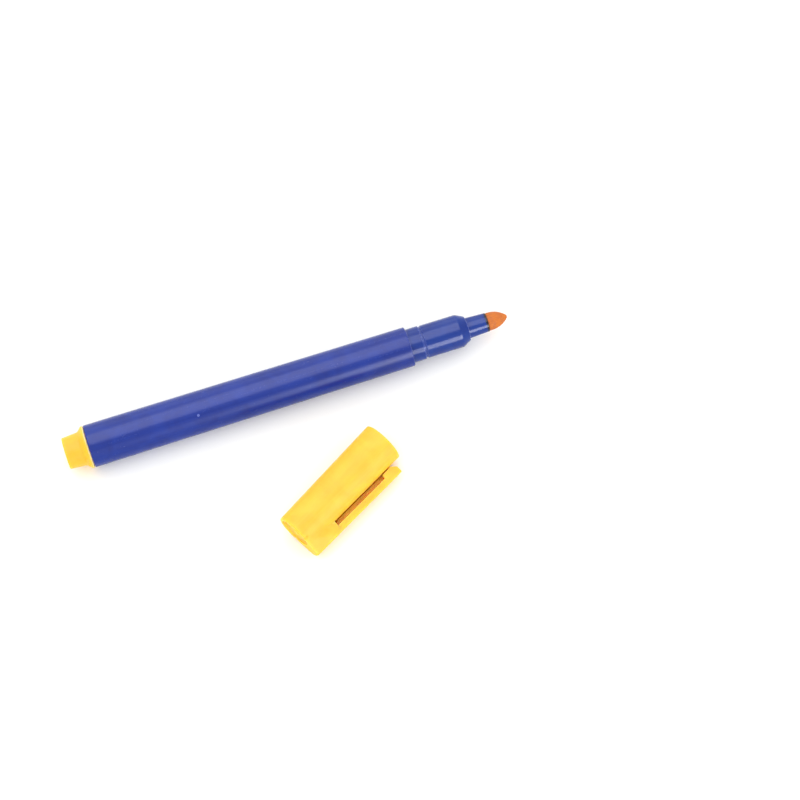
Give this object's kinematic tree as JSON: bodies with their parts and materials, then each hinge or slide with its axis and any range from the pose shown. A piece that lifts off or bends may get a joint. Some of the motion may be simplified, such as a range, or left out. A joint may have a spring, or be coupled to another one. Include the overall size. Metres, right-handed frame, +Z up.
{
  "type": "counterfeit detector pen",
  "caption": "Banknote test marker: hollow barrel with rear plug, stepped front section and bullet fibre tip, with its loose clip cap lying beside it.",
  "frame": {"origin": "on the pen's axis at the front face of the barrel, where the cap's mouth comes to rest; the table is 5.9 mm below", "axes": "+X along the pen towards its fibre tip, +Z up from the table, +Y across the pen away from the side where the cap lies"},
  "size_m": [0.125, 0.0542, 0.0118],
  "materials": {
    "barrel_plastic": "moulded polypropylene, satin, opaque blue",
    "section_plastic": "moulded polypropylene, smooth, opaque blue",
    "nib_fibre": "sintered polyester fibre soaked with amber iodine solution",
    "core_fibre": "bonded fibre, ink soaked",
    "film": "thin clear wrapping film",
    "plug_plastic": "moulded polypropylene, smooth, yellow",
    "cap_plastic": "moulded polypropylene, smooth, yellow"
  },
  "bodies": {
    "pen": {"barrel": "barrel_plastic", "front_section": "section_plastic", "nib": "nib_fibre", "ink_core": "core_fibre", "ink_film": "film", "rear_plug": "plug_plastic"},
    "cap": {"cap_shell": "cap_plastic", "inner_cap": "cap_plastic"},
    "clip": {"cap_clip": "cap_plastic"}
  },
  "joints": [
    {"name": "cap_swing", "type": "hinge", "parent": "pen", "child": "cap", "pos_m": [0.00427, -0.00603, 0], "axis": [0, 0, 1], "range_deg": [-20, 150.4]},
    {"name": "clip_flex", "type": "hinge", "parent": "cap", "child": "clip", "pos_m": [-0.03422, -0.04294, -0.00344], "axis": [-0.2165, 0.3812, -0.8988], "range_deg": [0, 3.5], "stiffness_Nm_per_rad": 0.7}
  ]
}
